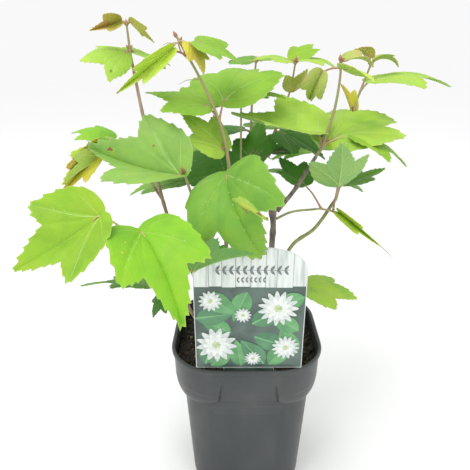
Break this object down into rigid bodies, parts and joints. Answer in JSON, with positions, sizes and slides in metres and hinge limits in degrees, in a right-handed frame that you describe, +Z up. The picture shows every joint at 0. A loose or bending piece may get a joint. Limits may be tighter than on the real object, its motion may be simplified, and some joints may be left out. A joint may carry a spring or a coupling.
{
  "type": "potted snowball bush",
  "caption": "Young leafy shrub with thin upright canes and three-lobed leaves, in a square black nursery pot with a picture label.",
  "frame": {"origin": "centre of the pot's flat underside", "axes": "+Z up the pot's axis; -Y is the front, where the label stands; +X is to the right seen from the front"},
  "size_m": [0.3173, 0.2876, 0.4071],
  "materials": {
    "pot_plastic": "satin",
    "compost": "rough",
    "label_card": "satin",
    "bark": "rough",
    "foliage": "matte"
  },
  "bodies": {
    "root": {"pot": "pot_plastic", "soil": "compost", "label": "label_card", "trunk": "bark", "bough_right": "bark", "twig_right": "bark", "cane_left": "bark", "twig_left": "bark", "cane_mid": "bark", "cane_front": "bark", "cane_low": "bark", "cane_centre": "bark", "cane_back": "bark", "cane_inner": "bark", "cane_right": "bark", "cane_low_right": "bark", "cane_back_left": "bark", "cane_back_right": "bark", "leaves_left_top": "foliage", "leaves_side": "foliage", "leaves_mid": "foliage", "leaves_front": "foliage", "leaves_low": "foliage", "leaves_centre": "foliage", "leaves_back": "foliage", "leaves_inner": "foliage", "leaves_main": "foliage", "leaves_right": "foliage", "leaves_twig": "foliage", "leaves_low_right": "foliage", "leaves_back_left": "foliage", "leaves_back_right": "foliage"}
  },
  "joints": []
}
